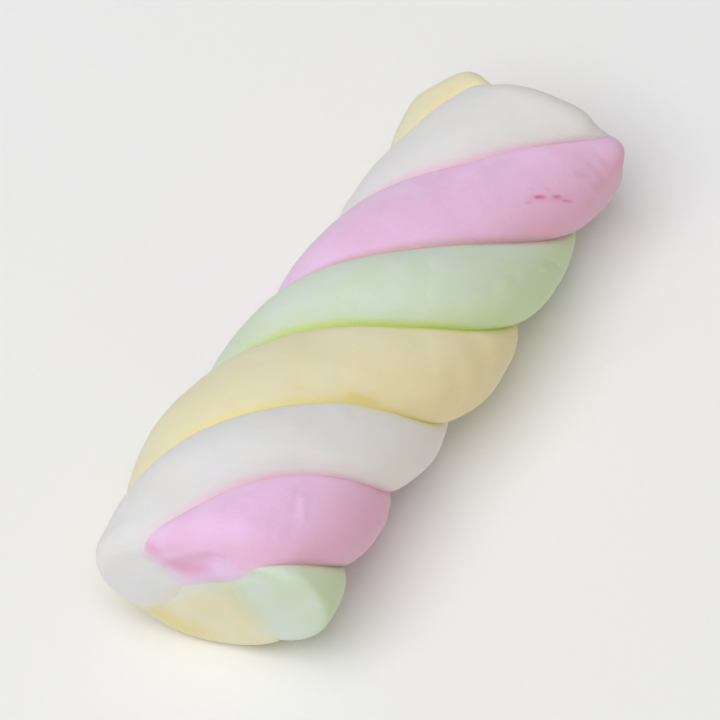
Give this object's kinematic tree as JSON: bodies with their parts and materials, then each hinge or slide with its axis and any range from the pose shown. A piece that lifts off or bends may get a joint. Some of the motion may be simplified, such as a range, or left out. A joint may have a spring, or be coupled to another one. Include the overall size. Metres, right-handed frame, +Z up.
{
  "type": "twisted marshmallow stick",
  "caption": "Thick marshmallow stick of soft pastel ropes in green, yellow, white and pink, twisted right-handed and cut aslant at its ends, lying on its side.",
  "frame": {"origin": "on the surface it lies on, under the middle of its box", "axes": "+X along the stick towards its far cut, +Z up, the stick lies on z = 0"},
  "size_m": [0.076, 0.0288, 0.0254],
  "materials": {
    "green_foam": "soft powdery matte, pale green sugar foam that lets some light in",
    "yellow_foam": "soft powdery matte, pale cream yellow sugar foam that lets some light in",
    "white_foam": "soft powdery matte, white sugar foam that lets some light in",
    "pink_foam": "soft powdery matte, cool pale pink sugar foam that lets some light in"
  },
  "bodies": {
    "root": {"strand_green": "green_foam", "strand_yellow": "yellow_foam", "strand_white": "white_foam", "strand_pink": "pink_foam"}
  },
  "joints": []
}
